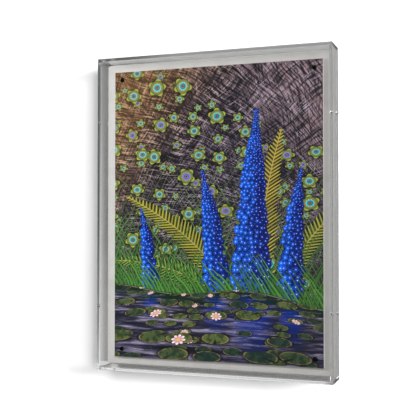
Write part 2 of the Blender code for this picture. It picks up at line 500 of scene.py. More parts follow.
BLACK_ENAMEL = Mottled("black_enamel", (0.0005, 0.0005, 0.0005), (0.0015, 0.0015, 0.0020), 2500.0, 2.0,
                       (0.4, 0.65), (0.40, 0.55), 0.07, 0.00003)
SOFT_RUBBER = Mottled("soft_rubber", (0.035, 0.035, 0.038), (0.075, 0.073, 0.07), 700.0, 3.0,
                      (0.4, 0.7), (0.6, 0.85), 0.5, 0.00004)


# ---- The print's design ----

# In millimetres, but for the taper, which is the share of a spike's width that is gone at its tip.
LEAFLET_STEP = 5.2
FLORET_SPACING = 9.4
SPIRE_TAPER = 0.72
POND_RISE = 92.0
POND_DEPTH = 60.0


@dataclass(frozen=True)
class Fan:
    """Stalks that fan from a point, and curl by so many radians for each millimetre."""

    focus_x: float
    focus_z: float
    seed: float
    turn: float


@dataclass(frozen=True)
class Meadow:
    """Round flowers strewn at random: their mean distance, their size and a seed."""

    spacing: float
    size: float
    seed: float


@dataclass(frozen=True)
class Spire:
    """A tall flower spike: its foot, height, half width, and how far its tip leans to the right."""

    foot_x: float
    foot_z: float
    height: float
    reach: float
    lean: float
    seed: float


@dataclass(frozen=True)
class Frond:
    """A feathered leaf: its stem's start, heading in degrees from upright, length, half width and curl."""

    start_x: float
    start_z: float
    heading: float
    length: float
    reach: float
    curl: float
    deep: Colour
    bright: Colour


@dataclass(frozen=True)
class Reeds:
    """A row of tapering blades that rise from the bank with one lean and curl."""

    pitch: float
    height: float
    width: float
    lean: float
    curl: float
    sink: float
    seed: float
    deep: Colour
    bright: Colour


class Drawing(Recipe):
    """A made-up waterside garden at dusk, drawn in millimetres from the middle of the sheet."""

    def __init__(self, name: str, garden: "GardenPrint") -> None:
        """Find the place on the sheet, and the edge of the bank there.

        Args:
            name: the material's name.
            garden: the print's settings.
        """
        super().__init__(name)
        self.garden = garden
        across, _, up = self.split(self.place())
        self.x = (across - garden.centre.x) * MILLIMETRES
        self.z = (up - garden.centre.z) * MILLIMETRES
        self.bank = (self.x * 0.028).sin() * 7.0 + (self.x * 0.011 + 1.0).cos() * 9.0 - 112.0

    def design(self) -> Ink:
        """Lay the whole picture, back to front.

        Returns:
            The picture's colour.
        """
        garden = self.garden
        layers = ((self.grasses, garden.fans), (self.blossoms, garden.meadows[:1]),
                  (self.row, garden.reeds[:2]), (self.blossoms, garden.meadows[1:]),
                  (self.feather, garden.fronds), (self.row, garden.reeds[2:3]),
                  (self.spike, garden.spires), (self.row, garden.reeds[3:]))
        colour = self.dusk()
        for draw, items in layers:
            for item in items:
                colour = draw(colour, item)
        pond = self.pads(self.water())
        return self.finish_light(colour.blend(pond, (self.bank - self.z).fade(-1.0, 1.0)))

    def aslant(self) -> tuple[Ink, Ink]:
        """How near the water is, and its place from front to back as if the pond lay flat.

        Returns:
            Both numbers.
        """
        near = ((self.z + POND_RISE) / -POND_DEPTH).at_least(0.0) + 1.0
        return near, near.log() * POND_DEPTH

    def dusk(self) -> Ink:
        """The evening air behind everything: violet grey, warmer towards the upper left.

        Returns:
            The air's colour.
        """
        x, z = self.x, self.z
        cloud = self.noise(self.join(x, z), 0.014, 3.0)
        haze = (z + cloud * 90.0).fade(-70.0, 160.0)
        air = self.blend((0.028, 0.034, 0.034), (0.085, 0.068, 0.092), haze)
        air = air.blend((0.36, 0.26, 0.27), (z * 0.8 + x + cloud * 80.0).fade(150.0, 320.0))
        warm = (z * 0.8 - x + cloud * 80.0).fade(150.0, 330.0)
        return air.blend((0.34, 0.17, 0.07), warm * 0.70)

    def grasses(self, under: Ink, fan: Fan) -> Ink:
        """Fine dry stalks that fan from a point: noise that is quick round the point and slow away from it.

        Args:
            under: the picture so far.
            fan: where the stalks start, and how they curl.

        Returns:
            The picture with the stalks on it.
        """
        x, z, seed = self.x, self.z, fan.seed
        away_x, away_z = x - fan.focus_x, z - fan.focus_z
        far = self.size(away_x, away_z)
        sway = self.noise(self.join(x, z, seed), 0.012)
        angle = self.bearing(away_x, away_z) + far * fan.turn + sway * 0.07
        line = self.noise(self.join(angle * 150.0, far * 0.020, seed), 1.0, 3.0, 0.7)
        fibre = self.noise(self.join(angle * 380.0, far * 0.045, seed + 7.0), 1.0, 2.0, 0.7)
        patch = self.noise(self.join(x, z, seed + 3.0), 0.03)
        tone = under.blend((0.008, 0.008, 0.014), line.fade(0.52, 0.40) * 0.92)
        lit = (line * 0.5 + fibre * 0.5).fade(0.54, 0.60) * patch.fade(0.36, 0.62, 0.25, 1.0)
        pale = self.blend((0.50, 0.43, 0.50), (0.58, 0.42, 0.26), (z * 0.8 - x).fade(40.0, 260.0))
        return tone.blend(pale, lit * 0.9)

    def row(self, under: Ink, reeds: Reeds) -> Ink:
        """Blades in columns that lean together: each is as wide as what is left of its own height.

        Args:
            under: the picture so far.
            reeds: sizes and colours of the row.

        Returns:
            The picture with the row on it.
        """
        x, z = self.x, self.z
        rise = z - self.bank + reeds.sink
        sway = self.noise(self.join(x * 0.02, z * 0.01, reeds.seed), 1.0) * 26.0
        column = (x - rise * reeds.lean - rise * rise * reeds.curl + sway) / reeds.pitch
        number = column.floor()
        tall, shade, shift = self.chance(number + reeds.seed * 37.0)
        left = 1.0 - rise / (tall * reeds.height * 0.7 + reeds.height * 0.3)
        off = (column - number - 0.5 + (shift - 0.5) * 0.4) * reeds.pitch
        half = left.at_least(0.0) ** 0.7 * reeds.width
        blade = (abs(off) - half).until(-0.25, 0.2) * left.fade(0.0, 0.02)
        side = (off / (half + 0.1)).fade(-1.0, 1.0, 0.25, 1.0)
        rib = abs(off).until(0.15, 0.35)
        tint = self.blend(reeds.deep, reeds.bright, (side * (shade * 0.7 + 0.3)).at_most(1.0))
        tint = tint.blend((0.42, 0.46, 0.26), rib * 0.35)
        return under.blend(tint, blade)

    def feather(self, under: Ink, frond: Frond) -> Ink:
        """A stem with slanting leaflets, each one step of the distance along less a share of that across.

        Args:
            under: the picture so far.
            frond: its place, sizes and colours.

        Returns:
            The picture with the frond on it.
        """
        heading = math.radians(frond.heading)
        from_x, from_z = self.x - frond.start_x, self.z - frond.start_z
        along = from_x * math.sin(heading) + from_z * math.cos(heading)
        across = from_x * math.cos(heading) - from_z * math.sin(heading) - along * along * frond.curl
        out = abs(across)
        share = along / frond.length
        reach = share.fade(0.0, 0.28) * (1.0 - share).at_least(0.0) ** 0.55 * frond.reach
        step = (along - out * 0.75) / LEAFLET_STEP
        number = step.floor()
        right = across.is_over(0.0)
        longer, shade, _ = self.chance(number + right * 91.0 + frond.heading)
        tip = 1.0 - out / (reach * (longer * 0.3 + 0.75) + 0.01)
        middle = abs(step - number - 0.5)
        leaflet = ((middle - tip.at_least(0.0) ** 0.5 * 0.46).until(-0.06, 0.04)
                   * tip.fade(0.0, 0.04) * share.until(1.0, 1.01))
        light = (middle.fade(0.0, 0.45, 1.0, 0.1) * (shade * 0.6 + 0.5)).at_most(1.0)
        tint = self.blend(frond.deep, frond.bright, light)
        tint = tint.blend((0.66, 0.62, 0.30), middle.fade(0.03, 0.09, 0.5, 0.0))
        stem = out.until(0.5, 0.9) * abs(share - 0.5).until(0.49, 0.5)
        shadow = tip.fade(-0.1, 0.25) * abs(share - 0.5).until(0.45, 0.52) * 0.72
        laid = under.blend((0.006, 0.010, 0.006), shadow)
        laid = laid.blend(tint, leaflet)
        return laid.blend((0.44, 0.36, 0.13), stem)

    def blossoms(self, under: Ink, meadow: Meadow) -> Ink:
        """Rings of petals round a navy eye with gold stamens, on pointed green sepals.

        Args:
            under: the picture so far.
            meadow: how the flowers are strewn.

        Returns:
            The picture with the flowers on it.
        """
        cell = self.scatter(self.x, self.z, meadow.spacing, 0.72, meadow.seed)
        spin, grow, tint = cell.chance
        lift = cell.dz * (spin * 0.35 + 1.0)
        radius = self.size(cell.dx, lift) / ((grow * 3.6 + 7.6) * meadow.size)
        angle = self.bearing(cell.dx, lift) + spin * 6.0
        drift = cell.centre_x * 0.55 + cell.centre_z
        kept = (abs(drift - 20.0).until(90.0, 190.0) + grow * 0.3).is_over(0.62)
        sepal = (radius - (angle * 5.0).cos() * 0.16 - 1.06).until(-0.03, 0.03)
        outer = (radius - abs((angle * 6.0).cos()) * 0.17 - 0.72).until(-0.02, 0.03)
        inner = (radius - abs((angle * 5.0 + 0.6).cos()) * 0.13 - 0.43).until(-0.02, 0.03)
        eye = radius.until(0.27, 0.32)
        vein = abs((angle * 18.0).sin())
        green = self.blend((0.05, 0.10, 0.02), (0.40, 0.42, 0.08), (radius + vein * 0.15).fade(0.7, 1.15))
        rim = green.blend((0.015, 0.03, 0.02), abs(radius - 0.93).until(0.02, 0.06) * 0.8)
        petal = self.blend((0.42, 0.30, 0.09), (0.10, 0.22, 0.12), radius.fade(0.52, 0.84))
        petal = petal.blend((0.03, 0.03, 0.01), abs((angle * 6.0).cos()).fade(0.18, 0.02) * 0.75)
        blue = self.blend((0.02, 0.30, 0.42), (0.10, 0.62, 0.62), radius.fade(0.28, 0.52))
        blue = blue.blend((0.01, 0.08, 0.22), abs((angle * 5.0 + 0.6).cos()).fade(0.3, 0.04) * 0.8)
        stamens = (abs(radius - 0.17) + abs((angle * 4.0).sin()) * 0.07).until(0.05, 0.09)
        centre = self.blend((0.004, 0.012, 0.13), (0.62, 0.46, 0.10), stamens)
        laid = under.blend((0.006, 0.008, 0.008), radius.fade(1.0, 1.55, 0.75, 0.0) * kept)
        laid = laid.blend(rim, sepal * kept)
        laid = laid.blend(petal, outer * kept)
        violet = blue.blend((0.16, 0.20, 0.62), tint.fade(0.72, 0.8))
        laid = laid.blend(violet, inner * kept)
        return laid.blend(centre, eye * kept)

    def spike(self, under: Ink, spire: Spire) -> Ink:
        """Cobalt florets that fill a tapering outline; each has five petals, a dark edge and a pale eye.

        Args:
            under: the picture so far.
            spire: its place and sizes.

        Returns:
            The picture with the spike on it.
        """
        share = (self.z - spire.foot_z) / spire.height
        size = (1.0 - share * SPIRE_TAPER).at_least(0.12)
        across = (self.x - spire.foot_x - share * share * spire.lean) / size
        height = size.log() * (spire.height / -SPIRE_TAPER)
        top = math.log(1.0 - SPIRE_TAPER) * spire.height / -SPIRE_TAPER
        laid = under
        for seed, shrink, dim in ((spire.seed + 4.0, 1.0, 0.45), (spire.seed, 0.9, 1.0)):
            cell = self.scatter(across, height, FLORET_SPACING, 0.62, seed)
            place = cell.centre_z / top
            full = self.noise(self.join(place * 7.0, spire.seed), 1.0) * 0.5 + 0.72
            reach = place.fade(-0.03, 0.07) * place.fade(0.5, 1.0, 1.0, 0.30) * full * spire.reach
            kept = (abs(cell.centre_x) - reach).until(-0.5, 0.5) * abs(place - 0.5).until(0.49, 0.51)
            spin, grow, tint = cell.chance
            radius = self.size(cell.dx, cell.dz) / ((grow * 1.2 + 5.0) * shrink)
            angle = self.bearing(cell.dx, cell.dz) + spin * 6.0
            lobe = abs((angle * 2.5).cos())
            petal = (radius - lobe * 0.22 - 0.82).until(-0.04, 0.04) * kept
            lit = (cell.centre_x / spire.reach + tint * 0.9).until(-0.9, 1.5) * dim
            deep = self.blend((0.002, 0.010, 0.10), (0.004, 0.05, 0.42), lit)
            bright = self.blend((0.004, 0.035, 0.30), (0.02, 0.22, 0.86), lit)
            tone = bright.blend(deep, radius.fade(0.35, 1.0))
            cleft = lobe.fade(0.30, 0.04) * radius.fade(0.25, 0.5) * 0.85
            tone = tone.blend((0.001, 0.006, 0.07), cleft)
            tone = tone.blend((0.08, 0.36, 0.95), abs(lobe - 0.75).fade(0.05, 0.22, 0.6, 0.0) * lit)
            tone = tone.blend((0.74, 0.80, 0.88), radius.until(0.10, 0.17) * dim)
            shade = radius.fade(1.0, 1.30, 0.85, 0.0) * kept
            laid = laid.blend((0.001, 0.004, 0.035), shade)
            laid = laid.blend(tone, petal)
        return laid

    def water(self) -> Ink:
        """Ripples that widen towards the viewer, and wavering reflections of the spikes and the bank.

        Returns:
            The water's colour.
        """
        near, flat = self.aslant()
        wide = self.x / near
        ripple = self.noise(self.join(wide * 0.030, flat * 0.34), 1.0, 4.0, 0.62)
        glint = self.noise(self.join(wide * 0.075, flat * 0.95, 5.0), 1.0, 3.0, 0.7)
        tone = self.ramp(ripple.fade(0.30, 0.70), (
            (0.0, (0.006, 0.008, 0.020)), (0.4, (0.035, 0.036, 0.062)), (0.7, (0.13, 0.12, 0.18)),
            (1.0, (0.34, 0.31, 0.40))))
        depth = self.bank - self.z
        sway = (ripple - 0.5) * 46.0 + (glint - 0.5) * 22.0
        for spire in self.garden.spires:
            streak = abs(self.x - spire.foot_x + sway).until(spire.reach * 0.25, spire.reach * 1.1)
            streak = streak * depth.fade(4.0, spire.height * 0.42, 0.9, 0.0)
            tone = tone.blend((0.006, 0.05, 0.34), streak)
        tone = tone.blend((0.008, 0.035, 0.014), (depth + sway * 0.5).fade(2.0, 24.0, 0.92, 0.0))
        spark = glint.fade(0.585, 0.66) * ripple.fade(0.42, 0.6) * 0.75
        tone = tone.blend((0.62, 0.58, 0.66), spark)
        return tone.blend((0.36, 0.34, 0.28), abs(depth - 1.4).fade(0.3, 0.9, 0.6, 0.0))

    def pads(self, under: Ink) -> Ink:
        """Round floating leaves seen aslant, larger towards the viewer; some carry a pale pink lily.

        Args:
            under: the picture so far.

        Returns:
            The picture with the leaves on it.
        """
        near, flat = self.aslant()
        laid = under
        for spacing, seed, share in ((13.0, 21.0, 0.42), (22.0, 27.0, 0.52)):
            cell = self.scatter(self.x / near, flat * 2.6, spacing, 0.5, seed)
            spin, grow, tint = cell.chance
            kept = grow.is_under(share)
            radius = self.size(cell.dx, cell.dz) / ((spin * 0.12 + 0.33) * spacing)
            angle = self.bearing(cell.dx, cell.dz)
            notch = abs(angle - (spin - 0.5) * 5.0).fade(0.10, 0.15)
            rib = abs((angle * 7.0).sin()).fade(0.05, 0.25, 0.6, 0.0)
            rib = rib * radius.fade(0.1, 0.9, 1.0, 0.2)
            green = self.blend((0.02, 0.06, 0.05), (0.15, 0.19, 0.06), (tint + radius * 0.3).fade(0.1, 1.1))
            green = green.blend((0.32, 0.34, 0.20), rib)
            green = green.blend((0.34, 0.26, 0.13), radius.fade(0.86, 0.95))
            light = self.noise(self.join(self.x, self.z, seed), 0.16)
            green = green.blend((0.012, 0.03, 0.03), light.fade(0.56, 0.42, 0.0, 0.6))
            laid = laid.blend((0.003, 0.006, 0.012), radius.fade(0.95, 1.3, 0.85, 0.0) * kept)
            laid = laid.blend(green, radius.until(0.97, 1.0) * notch * kept)
            tall = cell.dz * 0.55 - spacing * 0.06
            bloom = self.size(cell.dx, tall) / (spacing * 0.21)
            edge = abs((self.bearing(cell.dx, tall) * 4.0).cos())
            petal = (bloom - edge * 0.35 - 0.6).until(-0.04, 0.04) * kept * tint.is_over(0.84)
            pink = self.blend((0.62, 0.36, 0.42), (0.86, 0.74, 0.74), (bloom + edge * 0.3).fade(0.5, 1.2))
            pink = pink.blend((0.22, 0.08, 0.12), edge.fade(0.25, 0.02) * 0.8)
            pink = pink.blend((0.80, 0.52, 0.10), bloom.until(0.2, 0.3))
            laid = laid.blend(pink, petal)
        return laid

    def finish_light(self, colour: Ink) -> Ink:
        """Warm light from the upper left, darker corners and a fine grain.

        Args:
            colour: the whole picture.

        Returns:
            The lit picture.
        """
        x, z = self.x, self.z
        glow = (z * 0.8 - x).fade(120.0, 330.0)
        deepened = self.fill(self.node("Gamma"), colour, self.garden.contrast)
        lit = deepened.blend((self.garden.gain,) * 3, 1.0, "MULTIPLY")
        lit = lit.blend((0.62, 0.34, 0.12), glow * 0.15, "SCREEN")
        far = (x * x * 1.5 + z * z) ** 0.5
        lit = lit.blend((0.55, 0.55, 0.60), far.fade(170.0, 290.0) * 0.5, "MULTIPLY")
        grain = self.noise(self.join(x, z, 9.0), 1.3, 2.0, 0.8)
        return lit.blend(self.grey(grain), 0.10, "OVERLAY")


@dataclass(frozen=True)
class GardenPrint:
    """The printed sheet: white stock with a garden on its front.

    From back to front the garden has fine dry grasses, reeds, feathered leaves, small blue-green flowers,
    tall cobalt flower spikes, and a pond with round floating leaves.
    """

    centre: Vector
    white: Colour = (0.80, 0.79, 0.77)
    # Painted light: the edges and back of the sheet emit the stock's white, standing in for light that
    # reaches them.
    painted_edge_glow: float = 0.26
    contrast: float = 1.3
    gain: float = 1.65
    fans: tuple[Fan, ...] = (
        Fan(86.0, -330.0, 1.0, 0.0005), Fan(-190.0, -250.0, 2.0, -0.0007), Fan(250.0, -120.0, 3.0, 0.0009))
    meadows: tuple[Meadow, ...] = (Meadow(30.0, 0.58, 4.0), Meadow(41.0, 1.0, 9.0))
    spires: tuple[Spire, ...] = (
        Spire(-96.0, -112.0, 120.0, 14.0, -14.0, 71.0),
        Spire(106.0, -116.0, 176.0, 20.0, 16.0, 31.0),
        Spire(2.0, -112.0, 172.0, 21.0, -20.0, 57.0),
        Spire(52.0, -122.0, 262.0, 31.0, 8.0, 13.0),
    )
    fronds: tuple[Frond, ...] = (
        Frond(20.0, -100.0, -34.0, 190.0, 30.0, -0.0016, (0.06, 0.07, 0.01), (0.42, 0.40, 0.05)),
        Frond(92.0, -100.0, 24.0, 170.0, 27.0, 0.0018, (0.05, 0.07, 0.01), (0.36, 0.38, 0.06)),
        Frond(-6.0, -104.0, -58.0, 150.0, 25.0, -0.0022, (0.03, 0.07, 0.02), (0.20, 0.34, 0.06)),
        Frond(60.0, -100.0, 2.0, 215.0, 34.0, 0.0006, (0.07, 0.06, 0.01), (0.50, 0.42, 0.07)),
    )
    reeds: tuple[Reeds, ...] = (
        Reeds(9.0, 230.0, 2.4, 0.46, 0.0006, 0.0, 3.0, (0.015, 0.03, 0.02), (0.10, 0.16, 0.08)),
        Reeds(8.0, 190.0, 2.2, -0.38, -0.0010, 4.0, 5.0, (0.02, 0.045, 0.02), (0.12, 0.22, 0.08)),
        Reeds(7.0, 120.0, 2.6, 0.16, 0.0024, 7.0, 8.0, (0.015, 0.06, 0.02), (0.10, 0.30, 0.07)),
        Reeds(6.0, 74.0, 2.8, -0.50, -0.0040, 10.0, 11.0, (0.015, 0.07, 0.02), (0.14, 0.38, 0.07)),
    )

    def make(self) -> bpy.types.Material:
        """Build the material: the design on the front of the sheet, and plain white stock elsewhere, whose
        edges and back carry a painted glow that makes them look lit.

        Returns:
            The material.
        """
        drawing = Drawing("garden_print", self)
        colour = drawing.design()
        _, facing, _ = drawing.split(drawing.read("NewGeometry", "Normal"))
        front = facing.until(-0.7, -0.6)
        base = drawing.blend(self.white, colour, front)
        grain = drawing.noise(drawing.place(), 2600.0)
        # The edges and back emit a painted glow of the stock's white, so they look lit.
        return drawing.coat(Base_Color=base, Roughness=grain.fade(*NOISE_SPAN, 0.42, 0.55),
                            Specular_IOR_Level=0.25, Normal=drawing.bump(grain, 0.00001),
                            Emission_Color=self.white, Emission_Strength=(1.0 - front) * self.painted_edge_glow)


# ---- Surfaces ----

BORE_SIDES = 32


def grid_quads(rows: int, columns: int) -> np.ndarray:
    """Faces of a grid whose columns close into a ring.

    Args:
        rows: points along the surface.
        columns: points round it.

    Returns:
        Four corner numbers for each face.
    """
    row, column = np.meshgrid(np.arange(rows - 1), np.arange(columns), indexing="ij")
    after = (column + 1) % columns
    quads = np.stack([row * columns + column, row * columns + after,
                      (row + 1) * columns + after, (row + 1) * columns + column], axis=-1)
    return quads.reshape(-1, 4)


def capped_quads(rows: int, columns: int) -> list[list[int]]:
    """Faces of a grid whose first and last rows are closed too."""
    last = (rows - 1) * columns
    return [*grid_quads(rows, columns).tolist(), list(range(columns)), list(range(last, last + columns))]


def carry(outline: np.ndarray, axis: int, stops: Sequence[float]) -> np.ndarray:
    """Carry a flat outline along an axis: its points repeat at each stop, at that distance."""
    return np.concatenate([np.insert(outline, axis, stop, axis=1) for stop in stops])


def add_piece(name: str, points: np.ndarray, faces: Sequence[Sequence[int]], material: bpy.types.Material,
              smooth_under: float = 40.0) -> bpy.types.Object:
    """Make a mesh object from points and faces, closed at its poles and facing outwards.

    Args:
        name: the piece's name.
        points: one row of X, Y and Z for each point.
        faces: corner numbers of each face.
        material: its finish.
        smooth_under: edges that turn by less than this many degrees are shaded smooth.

    Returns:
        The object, with its place in its mesh.
    """
    mesh = bpy.data.meshes.new(name)
    mesh.from_pydata(points.tolist(), [], [list(map(int, face)) for face in faces])
    shape = bmesh.new()
    shape.from_mesh(mesh)
    bmesh.ops.remove_doubles(shape, verts=shape.verts, dist=1e-7)
    bmesh.ops.recalc_face_normals(shape, faces=shape.faces)
    if shape.calc_volume(signed=True) < 0:
        bmesh.ops.reverse_faces(shape, faces=shape.faces)
    shape.to_mesh(mesh)
    shape.free()
    mesh.materials.append(material)
    piece = bpy.data.objects.new(name, mesh)
    bpy.context.scene.collection.objects.link(piece)
    if smooth_under > 0:
        mesh.shade_smooth()
        mesh.set_sharp_from_angle(angle=math.radians(smooth_under))
    return piece


def turned_points(profile: np.ndarray, columns: int, tip: Vector, outward: Vector,
                  radius_at: Optional[Callable[[np.ndarray, np.ndarray], np.ndarray]] = None) -> np.ndarray:
    """Turn a profile: a point is the tip, less its distance back along the axis, plus its radius round it.

    Args:
        profile: rows of radius and distance back from the tip.
        columns: points round the axis.
        tip: where the axis starts.
        outward: the axis's direction, from the piece to the tip.
        radius_at: changes the radii; it is given the grid of radii and of angles.

    Returns:
        The points, row by row.
    """
    axis = outward.normalized()
    side = axis.orthogonal().normalized()
    other = axis.cross(side)
    angle = np.arange(columns) * (2 * math.pi / columns)
    radius = np.repeat(profile[:, :1], columns, axis=1)
    if radius_at is not None:
        radius = radius_at(radius, np.broadcast_to(angle, radius.shape))
    back = profile[:, 1][:, None, None] * np.array(axis)
    round_axis = np.cos(angle)[:, None] * np.array(side) + np.sin(angle)[:, None] * np.array(other)
    points = np.array(tip) - back + radius[:, :, None] * round_axis[None]
    return points.reshape(-1, 3)


def arc(centre: tuple[float, float], radii: tuple[float, float], start: float, end: float,
        steps: int) -> np.ndarray:
    """Points on an arc of an ellipse, with angles in degrees from the first axis.

    Args:
        centre: its middle.
        radii: along the two axes.
        start: first angle.
        end: last angle.
        steps: number of spans.

    Returns:
        Rows of two coordinates.
    """
    angle = np.radians(np.linspace(start, end, steps + 1))
    return np.stack([centre[0] + radii[0] * np.cos(angle), centre[1] + radii[1] * np.sin(angle)], axis=-1)


def settle(piece: bpy.types.Object) -> None:
    """Replace a piece's mesh by what its modifiers make of it, and drop the modifiers.

    Args:
        piece: the piece.
    """
    graph = bpy.context.evaluated_depsgraph_get()
    mesh = bpy.data.meshes.new_from_object(piece.evaluated_get(graph))
    mesh.name = piece.name
    piece.modifiers.clear()
    piece.data = mesh


def bore(piece: bpy.types.Object, starts: Sequence[Vector], direction: Vector, radius: float,
         length: float) -> None:
    """Cut round holes through a piece.

    Args:
        piece: what is bored.
        starts: where each hole's axis begins.
        direction: the way the holes run.
        radius: of the holes.
        length: of the holes.
    """
    profile = np.array([[0.0, 0.0], [radius, 0.0], [radius, length], [0.0, length]])
    faces = grid_quads(len(profile), BORE_SIDES)
    cutters = []
    for start in starts:
        points = turned_points(profile, BORE_SIDES, start, -direction)
        cut = piece.modifiers.new("bore", "BOOLEAN")
        cut.operation = "DIFFERENCE"
        cut.solver = "EXACT"
        cut.object = add_piece("cutter", points, faces, piece.data.materials[0])
        cutters.append(cut.object)
    settle(piece)
    for cutter in cutters:
        bpy.data.objects.remove(cutter)


def round_edges(piece: bpy.types.Object, width: float, segments: int) -> None:
    """Round every sharp edge of a piece.

    Args:
        piece: the piece.
        width: of the rounding.
        segments: facets of the rounding.
    """
    bevel = piece.modifiers.new("edges", "BEVEL")
    bevel.width = width
    bevel.segments = segments
    bevel.limit_method = "ANGLE"
    bevel.use_clamp_overlap = True
    settle(piece)


def axis_at(node: str, y: float) -> Vector:
    """Where the front-to-back axis through a solid's middle crosses a depth."""
    low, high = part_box(node)
    return Vector(((low.x + high.x) / 2, y, (low.z + high.z) / 2))


def read_all(items: bpy.types.bpy_prop_collection, name: str, width: int, kind: type = float) -> np.ndarray:
    """Read one property of every item of a mesh.

    Args:
        items: its vertices, loops or polygons.
        name: of the property.
        width: how many numbers each item has.
        kind: the type of the numbers.

    Returns:
        One row for each item.
    """
    values = np.empty(len(items) * width, kind)
    items.foreach_get(name, values)
    return values.reshape(-1, width)


def fit(piece: bpy.types.Object, slot: str, *nodes: str) -> None:
    """Let a finished piece ride on the frame's body in place of solids.

    Args:
        piece: the piece.
        slot: the record's material slot; not used.
        nodes: the solids it stands for.
    """
    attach(piece, BODY)
    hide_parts(*nodes)
    LOG.info("%s: %d faces, for %s", piece.name, len(piece.data.polygons), ", ".join(nodes))


def dress(node: str, material: bpy.types.Material) -> None:
    """Give a solid that stays a finish of its own.

    Args:
        node: the solid.
        material: its finish.
    """
    shown = frame["nodes"][node]
    shown.data.materials.clear()
    shown.data.materials.append(material)
    LOG.info("%s: kept, in %s", node, material.name)


# ---- Sub-assemblies ----

@dataclass
class AcrylicBox:
    """Five polished sheets bonded into one box that is open at the back."""

    finish: ClearAcrylic = ClearAcrylic()
    edge_round: float = 0.0005
    screw_hole: float = 0.0017

    def build(self) -> None:
        """Make the box: a rectangle carried from the front to the rear rim, then in to the inner face."""
        pane_low, pane_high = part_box("front_pane")
        wall_low, wall_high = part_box("left_wall")
        sheet = pane_high.y - pane_low.y
        middle = (pane_low + pane_high) / 2
        half_x, half_z = pane_high.x, middle.z - pane_low.z
        inner_x, inner_z = half_x - sheet, half_z - sheet
        rings = [(half_x, half_z, pane_low.y), (half_x, half_z, wall_high.y),
                 (inner_x, inner_z, wall_high.y), (inner_x, inner_z, pane_high.y)]
        signs = np.array([(-1, -1), (1, -1), (1, 1), (-1, 1)])
        points = np.concatenate([carry(signs * (reach_x, reach_z) + (0.0, middle.z), 1, (y,))
                                 for reach_x, reach_z, y in rings])
        faces = capped_quads(len(rings), len(signs))
        piece = add_piece("acrylic_box", points, faces, self.finish.make(), smooth_under=0.0)
        round_edges(piece, self.edge_round, 2)
        starts = []
        for level in LEVELS:
            low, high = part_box(f"side_screw_left_{level}")
            height, setback = (low.z + high.z) / 2, (low.y + high.y) / 2
            starts.append(Vector((-half_x - sheet, setback, height)))
        bore(piece, starts, Vector((1, 0, 0)), self.screw_hole, 2 * (half_x + sheet))
        fit(piece, "clear_acrylic", *WALLS)


@dataclass
class MountBoard:
    """The white board behind the print."""

    finish: MattBoard = MattBoard()

    def build(self) -> None:
        """Dress the solid."""
        dress("backing_board", self.finish.make())


@dataclass
class PrintSheet:
    """The print on its stiff panel."""

    edge_round: float = 0.0002
    pin_hole: float = 0.0013
    overrun: float = 0.002
    strip: float = 0.22
    strip_fill: float = 0.9

    def build(self) -> None:
        """Make the panel, a rectangle carried back by its thickness, with its pin holes and bake map."""
        low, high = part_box("print_panel")
        middle = (low + high) / 2
        outline = np.array([(low.x, low.z), (high.x, low.z), (high.x, high.z), (low.x, high.z)])
        points = carry(outline, 1, (low.y, high.y))
        finish = GardenPrint(middle).make()
        piece = add_piece("print_sheet", points, capped_quads(2, 4), finish, smooth_under=0.0)
        round_edges(piece, self.edge_round, 2)
        starts = [axis_at("pin_" + corner, low.y - self.overrun) for corner in CORNERS]
        bore(piece, starts, BACKWARDS, self.pin_hole, high.y - low.y + 2 * self.overrun)
        self.lay_bake_map(piece, low, high)
        fit(piece, "print", "print_panel")

    def lay_bake_map(self, piece: bpy.types.Object, low: Vector, high: Vector) -> None:
        """Spread the front flat over most of the map, and put the back and edges in a strip beside it.

        Args:
            piece: the panel.
            low: its lowest corner.
            high: its highest corner.
        """
        mesh = piece.data
        corner = read_all(mesh.loops, "vertex_index", 1, np.int32).ravel()
        at = read_all(mesh.vertices, "co", 3)[corner]
        facing = read_all(mesh.polygons, "normal", 3)[:, 1]
        front = np.repeat(facing < -0.9, read_all(mesh.polygons, "loop_total", 1, np.int32).ravel())
        height = high.z - low.z
        u = (at[:, 0] - low.x) / height
        v = (at[:, 2] - low.z) / height
        depth = (at[:, 1] - low.y) / height
        u = np.where(front, u, 1.0 - self.strip + (u + depth) * self.strip * self.strip_fill)
        v = np.where(front, v, (v + depth) * self.strip)
        layer = mesh.uv_layers.new(name="OFBake")
        layer.data.foreach_set("uv", np.stack([u, v], axis=-1).ravel())


@dataclass
class CornerPins:
    """Black pins with domed heads, one in each corner of the print."""

    finish: Mottled = BLACK_ENAMEL
    gap: float = 0.0003
    lip: float = 0.0002
    shank: float = 0.0010
    point: float = 0.0008
    crown_share: float = 0.6
    columns: int = 48

    def build(self) -> None:
        """Make each pin: an elliptical dome over a short side, then the shank to a point."""
        material = self.finish.make()
        sheet_low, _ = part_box("print_panel")
        for corner in CORNERS:
            node = "pin_" + corner
            low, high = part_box(node)
            radius, length = (high.x - low.x) / 2, high.y - low.y
            head = sheet_low.y - low.y - self.gap
            crown = self.crown_share * head
            profile = np.concatenate([
                arc((0.0, crown), (radius - self.lip, -crown), 90, 8, 12),
                arc((radius - self.lip, head - 2 * self.lip), (self.lip, self.lip), 0, 60, 3),
                [[radius - 2 * self.lip, head], [self.shank, head]],
                [[self.shank, length - self.point], [0.0, length]],
            ])
            points = turned_points(profile, self.columns, axis_at(node, low.y), -BACKWARDS)
            piece = add_piece(f"domed_{node}", points, grid_quads(len(profile), self.columns), material)
            fit(piece, "corner_pin", node)


